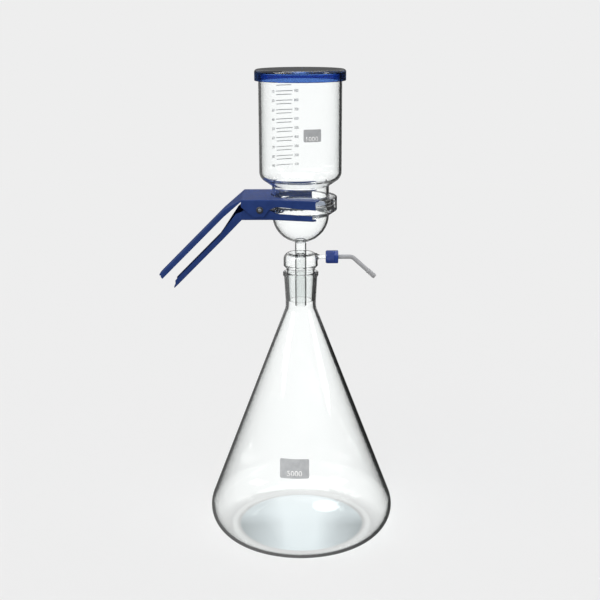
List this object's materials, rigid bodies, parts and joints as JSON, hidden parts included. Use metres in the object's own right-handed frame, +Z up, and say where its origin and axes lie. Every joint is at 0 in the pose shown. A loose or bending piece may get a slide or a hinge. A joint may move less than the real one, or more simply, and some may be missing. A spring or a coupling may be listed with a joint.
{
  "type": "vacuum filtration unit",
  "caption": "Glass vacuum filtration unit: graduated cup with lid, clamped by a spring clamp onto a fritted base that stands in a conical receiving flask.",
  "frame": {"origin": "centre of the flask's standing ring, at the height of the bench", "axes": "+Z up along the glassware's axis, +X along the vacuum side arm, -X along the clamp's handles"},
  "size_m": [0.286, 0.23, 0.5765],
  "materials": {
    "clear_glass": "polished",
    "sintered_glass": "matte porous glass",
    "lid_acrylic": "polished tinted acrylic",
    "clamp_metal": "satin blue coat",
    "pin_steel": "turned",
    "retainer_steel": "dark phosphate",
    "spring_steel": "drawn wire",
    "cap_plastic": "satin moulded",
    "seal_silicone": "matte",
    "nozzle_plastic": "satin moulded"
  },
  "bodies": {
    "base": {"flask": "clear_glass", "filter_base": "clear_glass", "sintered_disc": "sintered_glass", "cup": "clear_glass", "lid": "lid_acrylic", "lower_jaw": "clamp_metal", "pivot_pin": "pin_steel", "front_retainer": "retainer_steel", "rear_retainer": "retainer_steel", "torsion_spring": "spring_steel"},
    "upper_jaw": {"upper_jaw": "clamp_metal"},
    "seal": {"seal_ring": "seal_silicone"},
    "cap": {"screw_cap": "cap_plastic"},
    "nozzle": {"hose_nozzle": "nozzle_plastic"}
  },
  "joints": [
    {"name": "jaw_hinge", "type": "hinge", "parent": "base", "child": "upper_jaw", "pos_m": [-0.0473, 0, 0.4185], "axis": [0, -1, 0], "range_deg": [0, 5.5], "stiffness_Nm_per_rad": 1, "springref_deg": -28.65, "deforming": ["torsion_spring"]},
    {"name": "seal_slide", "type": "slide", "parent": "base", "child": "seal", "axis": [1, 0, 0], "range_m": [0, 0.00625]},
    {"name": "cap_turn", "type": "hinge", "parent": "seal", "child": "cap", "pos_m": [0.0378, 0, 0.3541], "axis": [1, 0, 0], "range_deg": [0, 900]},
    {"name": "nozzle_swivel", "type": "hinge", "parent": "seal", "child": "nozzle", "pos_m": [0.0434, 0, 0.3541], "axis": [1, 0, 0], "continuous": true}
  ],
  "couplings": [
    {"joint": "cap_turn", "follows": "seal_slide", "rad_per_m": 2513.3}
  ]
}
